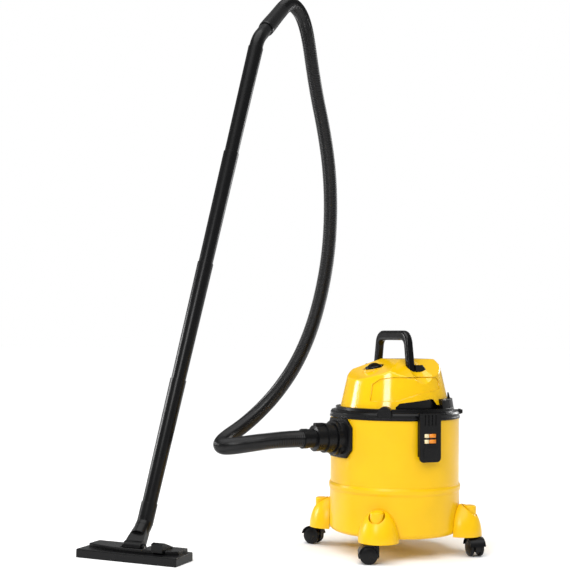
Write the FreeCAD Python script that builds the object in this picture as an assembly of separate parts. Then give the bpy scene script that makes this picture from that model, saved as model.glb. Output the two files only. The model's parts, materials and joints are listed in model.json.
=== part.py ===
import FreeCAD, Part
import math
import os
from FreeCAD import Vector

# Wet and dry shop vacuum: tank on four casters, lift-off motor head, hose, wand and floor nozzle.
# Millimetres. Origin on the floor under the tank's axis, +Z up, hose inlet on -Y, latches on +X and -X.

os.makedirs("parts", exist_ok=True)

ORIGIN = Vector(0, 0, 0)
X_AXIS = Vector(1, 0, 0)
Y_AXIS = Vector(0, 1, 0)
Z_AXIS = Vector(0, 0, 1)

# ---- driving dimensions
TANK_R = 150.0
TANK_WALL = 2.8
TANK_BASE_Z = 47.0
TANK_RIM_Z = 309.0
LOWER_WALL_R = 151.2
BEAD_LOW_Z = 142.0
BEAD_HIGH_Z = 159.0
INLET_Z = 265.0
PLATE_R = 158.0
BLOCK_Y = -164.0
COLLAR_Y = -170.0
INLET_BORE_R = 28.0
RUNNING_GAP = 0.05
FACE_GAP = 0.3
CORNERS = {"front_right": -45.0, "front_left": -135.0, "rear_right": 45.0, "rear_left": 135.0}
CASTER_TRAIL_HEADING = {"front_right": 243.0, "front_left": 211.0, "rear_right": 347.0, "rear_left": 250.0}

# ---- feet and casters
FOOT_R = 45.5
FOOT_HEIGHT = 70.0
FOOT_WALL = 3.0
FOOT_CENTRE = 159.0
FOOT_BASE_Z = 44.0
FOOT_BACK_R = 151.7
PEG_CENTRE = 176.5
PEG_R = 15.0
PEG_TOP_Z = 112.0
STEM_CENTRE = 181.0
STEM_R = 5.5
STEM_TOP_Z = 76.0
PINTLE_R = 4.0
WHEEL_R = 20.0
WHEEL_INNER_Y = 7.0
WHEEL_OUTER_Y = 18.0
CASTER_TRAIL = 17.0
AXLE_R = 3.0
FOOT_SCREW_Y = 22.0
FOOT_SCREW_Z = 66.0

# ---- head
BASE_Z = 309.6
FLANGE_R = 152.0
FLANGE_TOP_Z = 325.0
WALL_R = 138.3
WALL_TOP_Z = 333.5
LEDGE_Z = 331.2
DECK_Z = 318.0
DECK_TOP_Z = 322.0
UPSTAND_R = 117.0
UPSTAND_TOP_Z = 356.0
REAR_STEP_Y = 46.0
REAR_WALL_R = 134.5
REAR_WALL_Z = 353.8
TAB_R = 15.0
TAB_FACE_R = 152.6
TAB_CENTRE_Z = 326.0
TAB_ANGLES = (-41, 139)
TAB_GAP = 2.2
COVER_R = 128.2
COVER_BASE_Z = 332.0
COVER_REAR_Z = 354.5
COVER_SHOULDER_R = 105.5
COVER_SHOULDER_Z = 430.0
COVER_EDGE_R = 92.0
COVER_TOP_Z = 445.0
COVER_WALL = 2.5
FRONT_SLOPE_Y = -11.5
FRONT_SLOPE_DEG = 25.3
SIDE_SLOPE_X = 41.7
SIDE_SLOPE_DEG = 31.4
SCOOP_R = 50.0
SCOOP_Y = 10.0
PANEL_DEPTH = 1.8
HANDLE_TOP_Z = 511.5
HANDLE_Y0 = -12.5
HANDLE_Y1 = 6.5
PORT_Z = 332.0
PORT_BORE_R = 17.6
PORT_OUTER_R = 19.4
POST_X = 98.0
POST_Y = 36.0
POST_R = 5.0
SCREW_R = 2.0
SCREW_HEAD_R = 4.0
PILOT_R = 2.05
FAN_SCREW_R = 58.0
FAN_SCREW_ANGLES = (30, 150, 270)
GLAND_Z = 322.3
GLAND_HEADING = 65.0
GLAND_R = 4.95
LATCH_PIN_X = 157.5
LATCH_PIN_Z = 321.0
LATCH_PIN_R = 2.0
LATCH_FACE_X = 161.7
LATCH_THICK = 3.3
LATCH_LOW_Z = 219.0
LATCH_HIGH_Z = 327.0
LATCH_HALF = 27.0
LATCH_TURN = -3.8
SWITCH_Y = -57.0
SWITCH_TILT = 12.0
SWITCH_FLOOR_Z = 420.0
SWITCH_BOWL_R = 24.0
KNOB_R = 20.0
SHAFT_R = 3.0

# ---- hose, wand and nozzle
HOSE_R = 18.0
HOSE_BORE_R = 15.5
TUBE_R_LOW = 17.2
TUBE_R_HIGH = 19.0
TUBE_BORE_R = 15.3
TUBE_PITCH = 287.2
SPIGOT = 35.0
SLEEVE_LENGTH = 45.0
WAND_LEAN = 16.0
WAND_HEADING = 108.4
GRIP_CORNER = 25.0
CUFF_START = 60.0
NOZZLE_CENTRE = Vector(-139.0, -590.5, 0.0)
NOZZLE_YAW = 40.0
NOZZLE_LENGTH = 253.0
NOZZLE_DEPTH = 81.0
NOZZLE_HEIGHT = 19.0
PIVOT_Z = 27.0
NECK_LEAN = 45.0
NECK_REACH = 65.0
SWIVEL_S = 51.0

# Corner points of the hose's centre line, from the tank cuff round the loop and up to the wand cuff.
HOSE_ROUTE = [
    (0, -247, 265), (0, -291, 265), (-18, -333, 260), (-52, -364, 252), (-95, -379, 244),
    (-147, -377, 239), (-205, -356, 239), (-268, -313, 247), (-321, -247, 267), (-364, -177, 302),
    (-396, -109, 351), (-416, -46, 420), (-427, 3, 506), (-431, 38, 610), (-435, 62, 726),
    (-445, 74, 849), (-464, 78, 969), (-488, 72, 1082), (-502, 58, 1172), (-503, 43, 1252),
    (-493, 26, 1319), (-475, 5, 1362), (-450, -24, 1388), (-421, -60, 1397),
    (-391.78, -96.37, 1387.15), (-367, -126, 1357),
]


# ---------------------------------------------------------------- helpers
def box(x0, x1, y0, y1, z0, z1):
    return Part.makeBox(x1 - x0, y1 - y0, z1 - z0, Vector(x0, y0, z0))


def rod(radius, start, end):
    run = end - start
    return Part.makeCylinder(radius, run.Length, start, run)


def pipe(outer, inner, start, end):
    return rod(outer, start, end).cut(rod(inner, start, end))


def upright(radius, x, y, z0, z1):
    return Part.makeCylinder(radius, z1 - z0, Vector(x, y, z0))


def turned(profile):
    """Solid of revolution about Z from (radius, height) corners."""
    corners = [Vector(r, 0, z) for r, z in profile]
    face = Part.Face(Part.makePolygon(corners + corners[:1]))
    return face.revolve(ORIGIN, Z_AXIS, 360)


def prism(corners, along):
    """Straight extrusion of a flat outline of Vectors."""
    return Part.Face(Part.makePolygon(corners + corners[:1])).extrude(along)


def outline_x(points, x0, x1):
    """Outline given as (y, z), extruded along X."""
    return prism([Vector(x0, y, z) for y, z in points], Vector(x1 - x0, 0, 0))


def outline_y(points, y0, y1):
    """Outline given as (x, z), extruded along Y."""
    return prism([Vector(x, y0, z) for x, z in points], Vector(0, y1 - y0, 0))


def moved(shape, offset):
    copy = shape.copy()
    copy.translate(offset)
    return copy


def turned_by(shape, degrees, centre=ORIGIN, axis=Z_AXIS):
    copy = shape.copy()
    copy.rotate(centre, axis, degrees)
    return copy


def mirrored_x(shape):
    return shape.mirror(ORIGIN, X_AXIS)


def heading(degrees):
    return Vector(math.cos(math.radians(degrees)), math.sin(math.radians(degrees)), 0)


def lean(degrees, towards):
    """Unit vector leaning from vertical towards a heading."""
    angle = math.radians(degrees)
    return heading(towards) * math.sin(angle) + Z_AXIS * math.cos(angle)


def unit(vector):
    return vector / vector.Length


def aimed(shape, origin, direction):
    """Moves a shape built along +Z so that +Z runs along the direction from the origin point."""
    copy = shape.copy()
    copy.Placement = FreeCAD.Placement(origin, FreeCAD.Rotation(Z_AXIS, direction))
    return copy


def rounded(shape, radius, chosen):
    """Fillets the edges picked by a test on each edge's middle point."""
    edges = [e for e in shape.Edges if chosen(e.CenterOfMass)]
    return shape.makeFillet(radius, edges)


def joined(first, *others):
    result = first
    for other in others:
        result = result.fuse(other)
    return result.removeSplitter()


def group(shapes):
    return Part.makeCompound(shapes)


def save(node, shape):
    shape.exportStep("parts/" + node + ".step")
    solids = len(shape.Solids)
    print(node, "solids", solids, "cm3", round(shape.Volume / 1000, 2), "valid", shape.isValid())


# ---------------------------------------------------------------- tank
def foot_screw_axes():
    """Start points and directions of the screws, from inside the tank outwards."""
    axes = []
    for angle in CORNERS.values():
        out = heading(angle)
        side = heading(angle + 90)
        for offset in (-FOOT_SCREW_Y, FOOT_SCREW_Y):
            axes.append((side * offset + Z_AXIS * FOOT_SCREW_Z, out))
    return axes


def tank():
    outer = turned([(0, TANK_BASE_Z), (LOWER_WALL_R, TANK_BASE_Z), (LOWER_WALL_R, BEAD_LOW_Z + 6),
                    (TANK_R, BEAD_LOW_Z + 6), (TANK_R, TANK_RIM_Z), (0, TANK_RIM_Z)])
    outer = rounded(outer, 12, lambda p: abs(p.z - TANK_BASE_Z) < 0.1)
    bead = turned([(TANK_R - 1, BEAD_LOW_Z - 1), (TANK_R + 1.5, BEAD_LOW_Z), (TANK_R + 3.6, BEAD_LOW_Z + 5),
                   (TANK_R + 3.6, BEAD_HIGH_Z - 5), (TANK_R + 1.5, BEAD_HIGH_Z),
                   (TANK_R - 1, BEAD_HIGH_Z + 1)])
    inside_r = TANK_R - TANK_WALL
    inside = upright(inside_r, 0, 0, TANK_BASE_Z + TANK_WALL, TANK_RIM_Z + 1)
    inside = rounded(inside, 10, lambda p: abs(p.z - TANK_BASE_Z - TANK_WALL) < 0.1)
    catch = outline_y([(TANK_R - 2, 232), (TANK_R + 3.2, 233), (TANK_R + 3.2, 238), (TANK_R - 2, 244)],
                      -15, 15)
    catch = turned_by(catch, LATCH_TURN)
    shape = joined(outer, bead, catch, mirrored_x(catch)).cut(inside)
    shape = shape.cut(rod(30.2, Vector(0, -TANK_R - 10, INLET_Z), Vector(0, -TANK_R + 20, INLET_Z)))
    for screw_start in inlet_screw_points():
        shape = shape.cut(rod(2.2, screw_start + Y_AXIS * 20, screw_start - Y_AXIS * 10))
    for start, out in foot_screw_axes():
        shape = shape.cut(rod(2.2, start + out * 130, start + out * 160))
    return shape


# ---------------------------------------------------------------- feet
def dome(radius, height):
    """Half ellipsoid standing on z = 0."""
    quarter = Part.ArcOfEllipse(Part.Ellipse(ORIGIN, height, radius), 0, math.pi / 2).toShape()
    quarter.rotate(ORIGIN, Y_AXIS, -90)
    top = Vector(0, 0, height)
    rim = Vector(0, radius, 0)
    outline = Part.Wire([quarter, Part.makeLine(rim, ORIGIN), Part.makeLine(ORIGIN, top)])
    return Part.Face(outline).revolve(ORIGIN, Z_AXIS, 360)


def foot():
    """One foot, built on +X."""
    spot = Vector(FOOT_CENTRE, 0, FOOT_BASE_Z)
    outer = moved(dome(FOOT_R, FOOT_HEIGHT), spot)
    hollow = moved(dome(FOOT_R - FOOT_WALL, FOOT_HEIGHT - FOOT_WALL), spot)
    hollow = hollow.cut(upright(FOOT_BACK_R + FOOT_WALL, 0, 0, 0, 200))
    shell = outer.cut(hollow)
    filler = upright(PEG_R + 5.5, PEG_CENTRE, 0, 76, 130).common(outer)
    stem_boss = upright(9, STEM_CENTRE, 0, FOOT_BASE_Z, 84).common(outer)
    screw_bosses = [rod(5, Vector(150, y, FOOT_SCREW_Z), Vector(167, y, FOOT_SCREW_Z))
                    for y in (-FOOT_SCREW_Y, FOOT_SCREW_Y)]
    peg = upright(PEG_R, PEG_CENTRE, 0, 80, PEG_TOP_Z)
    peg = rounded(peg, 4, lambda p: p.z > PEG_TOP_Z - 0.1)
    groove = upright(PEG_R + 3.2, PEG_CENTRE, 0, 88, 130).cut(upright(PEG_R, PEG_CENTRE, 0, 88, 130))
    shape = joined(shell, filler, stem_boss, *screw_bosses).cut(groove)
    shape = joined(shape, peg)
    shape = shape.cut(upright(FOOT_BACK_R, 0, 0, 0, 200))
    shape = shape.cut(upright(STEM_R + RUNNING_GAP, STEM_CENTRE, 0, 40, STEM_TOP_Z + 1))
    for y in (-FOOT_SCREW_Y, FOOT_SCREW_Y):
        shape = shape.cut(rod(2.05, Vector(140, y, FOOT_SCREW_Z), Vector(164, y, FOOT_SCREW_Z)))
    return shape


def foot_screws():
    screws = []
    for start, out in foot_screw_axes():
        inside = start + out * math.sqrt((TANK_R - TANK_WALL) ** 2 - FOOT_SCREW_Y ** 2)
        seat = inside - out * 1.2
        head = rod(4, seat - out * 2.6, seat)
        screws.append(joined(head, rod(2, seat, inside + out * 17)))
    return group(screws)


# ---------------------------------------------------------------- casters (stem on Z, trail on +X)
def caster_stem():
    shank = upright(STEM_R, 0, 0, 43.7, STEM_TOP_Z)
    collar = upright(8, 0, 0, 41.2, 43.7)
    pintle = upright(PINTLE_R, 0, 0, 20.5, 41.2)
    return joined(shank, collar, pintle)


def caster_hood():
    axle_spot = Vector(CASTER_TRAIL, 0, WHEEL_R)
    fender_r = WHEEL_R + 2.8
    half_web = WHEEL_INNER_Y - 0.5
    half_width = WHEEL_OUTER_Y + 0.5
    web = rod(fender_r, axle_spot - Y_AXIS * half_web, axle_spot + Y_AXIS * half_web)
    web = web.cut(box(-50, 80, -20, 20, -10, 12))
    neck = box(-6.5, CASTER_TRAIL, -half_web, half_web, 15, 40.6)
    fender = pipe(fender_r, WHEEL_R + 0.8, axle_spot - Y_AXIS * half_width, axle_spot + Y_AXIS * half_width)
    fender = fender.cut(box(-50, 80, -30, 30, -10, WHEEL_R + 4))
    boss = upright(6.5, 0, 0, 15, 40.6)
    shape = joined(web, neck, fender, boss)
    shape = shape.cut(upright(PINTLE_R + RUNNING_GAP, 0, 0, 20, 60))
    shape = shape.cut(upright(9, 0, 0, 40.6, 60))
    return shape.cut(rod(AXLE_R, axle_spot - Y_AXIS * 30, axle_spot + Y_AXIS * 30))


def caster_axle():
    axle_spot = Vector(CASTER_TRAIL, 0, WHEEL_R)
    return rod(AXLE_R, axle_spot - Y_AXIS * 15.5, axle_spot + Y_AXIS * 15.5)


def caster_wheels():
    axle_spot = Vector(CASTER_TRAIL, 0, WHEEL_R)
    near = rod(WHEEL_R, axle_spot + Y_AXIS * WHEEL_INNER_Y, axle_spot + Y_AXIS * WHEEL_OUTER_Y)
    near = near.makeFillet(2.0, [e for e in near.Edges if abs(e.CenterOfMass.y - WHEEL_OUTER_Y) < 0.1])
    dish = pipe(15, 7, axle_spot + Y_AXIS * (WHEEL_OUTER_Y - 1.2), axle_spot + Y_AXIS * 30)
    bore = rod(AXLE_R + RUNNING_GAP, axle_spot, axle_spot + Y_AXIS * 15.8)
    near = near.cut(dish).cut(bore)
    return group([near, near.mirror(ORIGIN, Y_AXIS)])


def caster_placed(shape, corner):
    spun = turned_by(shape, CASTER_TRAIL_HEADING[corner])
    return moved(spun, heading(CORNERS[corner]) * STEM_CENTRE)


# ---------------------------------------------------------------- inlet

def inlet_outline(half_x, cut_x, half_z, cut_z, y0, y1):
    """Rectangle with cut corners, centred on the inlet."""
    keep_x = half_x - cut_x
    keep_z = half_z - cut_z
    points = [(-half_x, -keep_z), (-keep_x, -half_z), (keep_x, -half_z), (half_x, -keep_z),
              (half_x, keep_z), (keep_x, half_z), (-keep_x, half_z), (-half_x, keep_z)]
    return outline_y([(x, z + INLET_Z) for x, z in points], y0, y1)


def inlet_screw_points():
    return [Vector(x, -TANK_R, INLET_Z + z) for x in (-36, 36) for z in (-27, 27)]


def drum(radius):
    """Upright cylinder about the tank's axis, at the height of the inlet."""
    return upright(radius, 0, 0, 200, 320)


def inlet_flange():
    plate = inlet_outline(49, 15, 44, 18, -170, -100).common(drum(PLATE_R))
    block = inlet_outline(35, 8, 35, 8, BLOCK_Y, -140)
    collar = rod(39, Vector(0, COLLAR_Y, INLET_Z), Vector(0, -150, INLET_Z))
    sleeve = rod(29.9, Vector(0, -150, INLET_Z), Vector(0, -138, INLET_Z))
    shape = joined(plate, block, collar).cut(drum(TANK_R + 1.8))
    shape = joined(shape, sleeve)
    shape = shape.cut(rod(INLET_BORE_R, Vector(0, -200, INLET_Z), Vector(0, -100, INLET_Z)))
    for point in inlet_screw_points():
        shape = shape.cut(rod(PILOT_R, point + Y_AXIS * 20, point - Y_AXIS * 2.3))
    return shape


def inlet_gasket():
    sheet = inlet_outline(48, 15, 43, 18, -170, -100)
    sheet = sheet.common(drum(TANK_R + 1.7)).cut(drum(TANK_R + 0.1))
    sheet = sheet.cut(rod(30.2, Vector(0, -200, INLET_Z), Vector(0, -100, INLET_Z)))
    for point in inlet_screw_points():
        sheet = sheet.cut(rod(2.4, point + Y_AXIS * 20, point - Y_AXIS * 20))
    return sheet


def inlet_screws():
    screws = []
    for point in inlet_screw_points():
        wall_y = -math.sqrt((TANK_R - TANK_WALL) ** 2 - point.x ** 2)
        seat = Vector(point.x, wall_y + 1.2, point.z)
        tip = point - Y_AXIS * 1.5
        screws.append(joined(rod(SCREW_HEAD_R, seat + Y_AXIS * 2.6, seat), rod(SCREW_R, seat, tip)))
    return group(screws)


def inlet_profile(points):
    """Solid of revolution about the inlet axis from (radius, distance out of the tank) corners."""
    body = turned(points)
    return aimed(body, Vector(0, 0, INLET_Z), Vector(0, -1, 0))


def hose_cuff_tank():
    shape = inlet_profile([
        (22.5, 142), (27.95, 142), (27.95, 170.3), (33.5, 170.3), (33.5, 192), (29.5, 192), (29.5, 216),
        (21.5, 218), (21.5, 234), (22.4, 234.5), (22.4, 247), (15.5, 247), (15.5, 240), (20, 234),
    ])
    lug = box(-7, 7, -214, -190, INLET_Z + 25, INLET_Z + 34.5)
    lug = rounded(lug, 2, lambda p: p.z > INLET_Z + 34)
    key = rod(28.5, Vector(0, -214, INLET_Z), Vector(0, -190, INLET_Z))
    return joined(shape, lug.cut(key))


# ---------------------------------------------------------------- head
def head_base():
    shape = turned([
        (141, 299), (145, 299), (145, BASE_Z), (FLANGE_R, BASE_Z), (FLANGE_R, 313.4), (150.8, 314.2),
        (150.8, 320.5), (148, FLANGE_TOP_Z), (WALL_R + 0.7, 327), (WALL_R, WALL_TOP_Z),
        (132, WALL_TOP_Z + 0.8),
        (131, LEDGE_Z), (UPSTAND_R, LEDGE_Z), (UPSTAND_R, UPSTAND_TOP_Z), (UPSTAND_R - 3, UPSTAND_TOP_Z),
        (UPSTAND_R - 3, DECK_TOP_Z), (46, DECK_TOP_Z), (46, DECK_Z), (UPSTAND_R, DECK_Z),
        (UPSTAND_R, LEDGE_Z - 2.8), (135, LEDGE_Z - 2.8), (135.6, 323.5), (141, 321.5),
    ])
    shape = shape.fuse(rear_wall())
    for angle in TAB_ANGLES:
        shape = shape.fuse(turned_by(corner_tab(), angle))
    ears = turned_by(latch_ears(), LATCH_TURN)
    shape = shape.fuse(ears).fuse(mirrored_x(ears))
    shape = shape.fuse(port_housing()).fuse(cord_fin())
    shape = shape.cut(rod(PORT_OUTER_R, Vector(0, 120, PORT_Z), Vector(0, 170, PORT_Z)))
    for angle in TAB_ANGLES:
        for y in (TAB_R, -TAB_R - TAB_GAP):
            shape = shape.cut(turned_by(box(147, 160, y, y + TAB_GAP, 316, 345), angle))
    gland_out = heading(GLAND_HEADING)
    shape = shape.cut(rod(GLAND_R + RUNNING_GAP, gland_out * 125 + Z_AXIS * GLAND_Z,
                          gland_out * 170 + Z_AXIS * GLAND_Z))
    for x, y in post_points():
        shape = shape.cut(upright(SCREW_R + 0.2, x, y, 310, 330))
    for spot in fan_screw_points():
        shape = shape.cut(upright(PILOT_R, spot.x, spot.y, 310, 330))
    return shape.removeSplitter()


def post_points():
    return [(sx * POST_X, sy * POST_Y) for sx in (-1, 1) for sy in (-1, 1)]


def fan_screw_points():
    return [heading(angle) * FAN_SCREW_R for angle in FAN_SCREW_ANGLES]


def behind(y):
    """Half space behind a plane across Y, as a large box."""
    return box(-200, 200, y, 200, 200, 500)


def rear_wall():
    """Raised wall round the rear half of the ring, hollow below, with upright grooves."""
    foot_z = 327.0
    skin = 3.0
    outer = turned([(UPSTAND_R - 2, LEDGE_Z - 2), (WALL_R - 2, foot_z), (WALL_R + 0.4, foot_z),
                    (REAR_WALL_R, REAR_WALL_Z), (UPSTAND_R - 2, REAR_WALL_Z)])
    hollow = turned([(UPSTAND_R, LEDGE_Z), (WALL_R - skin, LEDGE_Z), (WALL_R - skin, WALL_TOP_Z),
                     (REAR_WALL_R - skin, REAR_WALL_Z - skin), (UPSTAND_R, REAR_WALL_Z - skin)])
    shape = outer.common(behind(REAR_STEP_Y + 0.8)).cut(hollow.common(behind(REAR_STEP_Y + 0.8 + skin)))
    rise = REAR_WALL_Z - foot_z
    taper = math.degrees(math.atan((WALL_R + 0.4 - REAR_WALL_R) / rise))
    start = WALL_R - 1.4
    groove = box(start, start + 10, -1.1, 1.1, 329.5, 352)
    groove = turned_by(groove, -taper, Vector(start, 0, foot_z), Y_AXIS)
    for step in range(4):
        angle = 19.5 + 14.1 * step
        shape = shape.cut(turned_by(groove, angle)).cut(turned_by(groove, 180 - angle))
    return shape


def port_housing():
    """Block round the blower port, open towards the fan."""
    block = outline_y([(-30, BASE_Z), (30, BASE_Z), (30, 346), (25, 353), (-25, 353), (-30, 346)], 112, 141)
    return block.cut(outline_y([(-24, DECK_TOP_Z), (24, DECK_TOP_Z), (24, 345), (-24, 345)], 110, 132))


def cord_fin():
    """Pointed hook behind the cover that holds the wound cord."""
    return outline_x([(110.5, 350), (117, 350), (112, 367), (110.8, 367)], 56, 60)


def corner_tab():
    """Rounded upright tab on the ring, built on +X."""
    slab = box(132, TAB_FACE_R, -TAB_R, TAB_R, 318.5, TAB_CENTRE_Z)
    crown = rod(TAB_R, Vector(132, 0, TAB_CENTRE_Z), Vector(TAB_FACE_R, 0, TAB_CENTRE_Z))
    crown = crown.cut(box(120, 160, -20, 20, 300, TAB_CENTRE_Z))
    return slab.fuse(crown).cut(upright(COVER_R + 4, 0, 0, 300, 400))


def latch_pin_line(radius, half):
    """Rod along the hinge of the latch on +X."""
    return rod(radius, Vector(LATCH_PIN_X, -half, LATCH_PIN_Z), Vector(LATCH_PIN_X, half, LATCH_PIN_Z))


def latch_ears():
    """Pair of hinge ears, built on +X."""
    ears = []
    for y in (-21.0, 17.2):
        root = box(144, LATCH_PIN_X, y, y + 3.8, LATCH_PIN_Z - 3.8, LATCH_PIN_Z + 3.8)
        tip = rod(3.8, Vector(LATCH_PIN_X, y, LATCH_PIN_Z), Vector(LATCH_PIN_X, y + 3.8, LATCH_PIN_Z))
        ears.append(root.fuse(tip))
    pair = ears[0].fuse(ears[1])
    return pair.cut(latch_pin_line(LATCH_PIN_R, 30))


def head_seal():
    return turned([(145, 301), (147.0, 302), (147.0, 305), (145, 306)])


def above_slope(start, degrees, inset):
    """Wedge above a plane that falls towards -Y from the cover's top, built along X."""
    drop = inset / math.cos(math.radians(degrees))
    fall = math.tan(math.radians(degrees))
    reach = 200.0
    low = COVER_TOP_Z - drop
    return outline_x([(start + reach, low + reach * fall), (start - reach, low - reach * fall),
                      (start - reach, low + reach * fall)], -300, 300)


def handle_scoop(inset):
    """Hollow in the shoulder round a handle foot, built on the +X side."""
    high = Vector(40, SCOOP_Y, COVER_TOP_Z)
    low = Vector(81, SCOOP_Y, 415)
    along = unit(low - high)
    up = Vector(-along.z, 0, along.x)
    centre = high + up * SCOOP_R
    return rod(SCOOP_R + inset, centre - along * 60, centre + along * 200)


def cover_block(inset):
    """Solid under the cover's surface, moved inwards by the inset."""
    shape = turned([
        (0, COVER_BASE_Z - 1), (COVER_R - inset, COVER_BASE_Z - 1),
        (COVER_SHOULDER_R - inset, COVER_SHOULDER_Z),
        (COVER_EDGE_R - inset, COVER_TOP_Z - inset), (0, COVER_TOP_Z - inset),
    ])
    shape = shape.cut(above_slope(FRONT_SLOPE_Y, FRONT_SLOPE_DEG, inset))
    for side in (90, -90):
        shape = shape.cut(turned_by(above_slope(-SIDE_SLOPE_X, SIDE_SLOPE_DEG, inset), side))
    if inset < COVER_WALL:
        shape = shape.makeFillet(7, [e for e in shape.Edges if e.CenterOfMass.z > 380])
    scoop = handle_scoop(inset)
    middle = Vector(0, (HANDLE_Y0 + HANDLE_Y1) / 2, 0)
    return shape.cut(scoop).cut(turned_by(scoop, 180, middle))


def switch_axis():
    tilt = math.radians(SWITCH_TILT)
    return Vector(0, -math.sin(tilt), math.cos(tilt))


def switch_spot(distance):
    return Vector(0, SWITCH_Y, SWITCH_FLOOR_Z) + switch_axis() * distance


def side_panel(x0, x1):
    points = [(-106, 350), (-98, 388), (-86, 400), (-60, 405), (46, 405), (56, 396), (56, 378),
              (-17, 366), (-60, 352)]
    return outline_x(points, x0, x1)


def exhaust_notch(x0, x1):
    """Opening in the cover's lower edge through which the air leaves."""
    return outline_x([(-69, 325), (-66, 338), (-57, 346.5), (21, 356.2), (28, 354.5), (37, 343), (48, 341),
                      (48, 325)], x0, x1)


def head_cover():
    outer = cover_block(0)
    skin = outer.cut(cover_block(PANEL_DEPTH))
    for x0, x1 in ((20, 200), (-200, -20)):
        outer = outer.cut(skin.common(side_panel(x0, x1)))
    boss = rod(SWITCH_BOWL_R + 3, switch_spot(-20), switch_spot(4.5))
    bowl = rod(SWITCH_BOWL_R, switch_spot(0), switch_spot(30))
    whole = outer.fuse(boss)
    boss_floor = rod(SWITCH_BOWL_R + 2, switch_spot(-2.5), switch_spot(0)).common(whole)
    shape = whole.cut(cover_block(COVER_WALL)).fuse(boss_floor).cut(bowl)
    shape = shape.cut(rod(SHAFT_R + 0.3, switch_spot(-10), switch_spot(10)))
    posts = cover_posts()
    shape = shape.fuse(posts.common(outer.fuse(box(-120, 120, -50, 50, DECK_TOP_Z, COVER_BASE_Z + 5))))
    below = box(-200, 200, -200, 200, COVER_BASE_Z - 10, COVER_BASE_Z)
    below_rear = behind(REAR_STEP_Y).common(box(-200, 200, 0, 200, 300, COVER_REAR_Z))
    shape = shape.cut(below.fuse(below_rear).cut(posts))
    for x0, x1 in ((105, 200), (-200, -105)):
        shape = shape.cut(exhaust_notch(x0, x1))
    for x, y in post_points():
        shape = shape.cut(upright(PILOT_R, x, y, 310, 345))
    return shape.removeSplitter()


def cover_posts():
    """Four posts that take the screws from below the deck."""
    shapes = [upright(POST_R, x, y, DECK_TOP_Z + 0.2, COVER_TOP_Z) for x, y in post_points()]
    return shapes[0].fuse(shapes[1:])


def head_screws():
    screws = [joined(upright(SCREW_HEAD_R, x, y, DECK_Z - 2.6, DECK_Z), upright(SCREW_R, x, y, DECK_Z, 342))
              for x, y in post_points()]
    return group(screws)


def carry_handle():
    outer = outline_y([(-82, 410), (-65.5, HANDLE_TOP_Z), (65.5, HANDLE_TOP_Z), (82, 410)],
                      HANDLE_Y0, HANDLE_Y1)
    shoulders = [e for e in outer.Edges if e.BoundBox.YLength > 15 and e.CenterOfMass.z > 485]
    outer = outer.makeFillet(30, shoulders)
    gap = outline_y([(-65.5, 400), (-52.5, 488.5), (52.5, 488.5), (65.5, 400)], -40, 40)
    gap = gap.makeFillet(15, [e for e in gap.Edges if e.BoundBox.YLength > 20 and e.CenterOfMass.z > 460])
    arch = outer.cut(gap)
    long_edges = [e for e in arch.Edges if e.BoundBox.YLength < 0.01 and e.CenterOfMass.z > 440]
    arch = arch.makeFillet(6.5, long_edges)
    lug = outline_x([(HANDLE_Y1 - 1, 432), (25, 432), (36, 419), (35, 416), (HANDLE_Y1 - 1, 416)], 66, 81)
    lug = lug.makeFillet(1.5, [e for e in lug.Edges if e.CenterOfMass.x > 80.9 and e.CenterOfMass.y > 7])
    other = turned_by(lug, 180, Vector(0, (HANDLE_Y0 + HANDLE_Y1) / 2, 0))
    return joined(arch, lug, other).cut(cover_block(0))


def switch_knob():
    disc = rod(KNOB_R, switch_spot(1), switch_spot(9))
    disc = disc.makeFillet(3, [e for e in disc.Edges if e.CenterOfMass.z > switch_spot(8).z])
    shaft = rod(SHAFT_R, switch_spot(-12), switch_spot(1))
    grip = turned_by(box(-4.5, 4.5, -KNOB_R, KNOB_R, 6, 20), SWITCH_TILT, ORIGIN, X_AXIS)
    grip = moved(grip, switch_spot(0)).common(Part.makeSphere(21.5, switch_spot(-6)))
    return joined(disc, shaft, grip)


def switch_body():
    body = rod(12, switch_spot(-15.5), switch_spot(-2.6))
    return body.cut(rod(SHAFT_R + RUNNING_GAP, switch_spot(-12.3), switch_spot(0)))


def motor_housing():
    return turned([
        (4.06, 349), (48, 349), (48, 404), (4.06, 404), (4.06, 400), (44, 400), (44, 353), (4.06, 353),
    ])


def motor_stator():
    return turned([(30.5, 362), (43.9, 362), (43.9, 390), (30.5, 390)])


def motor_rotor():
    return turned([
        (0, 330), (4, 330), (4, 364), (29, 364), (29, 388), (12, 388), (12, 396), (4, 396), (4, 403),
        (0, 403),
    ])


def impeller():
    hub = turned([(4, 328), (9, 328), (9, 330), (58, 330), (58, 331.5), (9, 331.5), (9, 342), (4, 342)])
    vane = box(8, 57, -0.8, 0.8, 331, 341)
    return joined(hub, *[turned_by(vane, 360.0 * i / 9) for i in range(9)])


def fan_housing():
    shape = turned([
        (20, DECK_TOP_Z), (66, DECK_TOP_Z), (66, 348.8), (5, 348.8), (5, 346), (63, 346), (63, 325),
        (20, 325),
    ])
    for angle in range(0, 360, 30):
        window = turned_by(box(60, 70, -8, 8, 331, 341), angle)
        shape = shape.cut(window)
    for spot in fan_screw_points():
        shape = shape.cut(upright(PILOT_R, spot.x, spot.y, 318, 325.2))
    return shape


def float_cage():
    shape = turned([
        (24, 222), (38, 222), (38, DECK_Z - 3), (45, DECK_Z - 3), (45, DECK_Z), (33, DECK_Z),
        (33, DECK_Z - 3),
        (35.5, DECK_Z - 3), (35.5, 225), (24, 225),
    ])
    floor = turned([(0, 222), (24, 222), (24, 225), (0, 225)])
    shape = joined(shape, floor)
    for angle in range(0, 360, 45):
        shape = shape.cut(turned_by(box(30, 50, -8, 8, 232, 300), angle))
    return shape


def float_ball():
    return Part.makeSphere(20, Vector(0, 0, 245.2))


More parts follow.
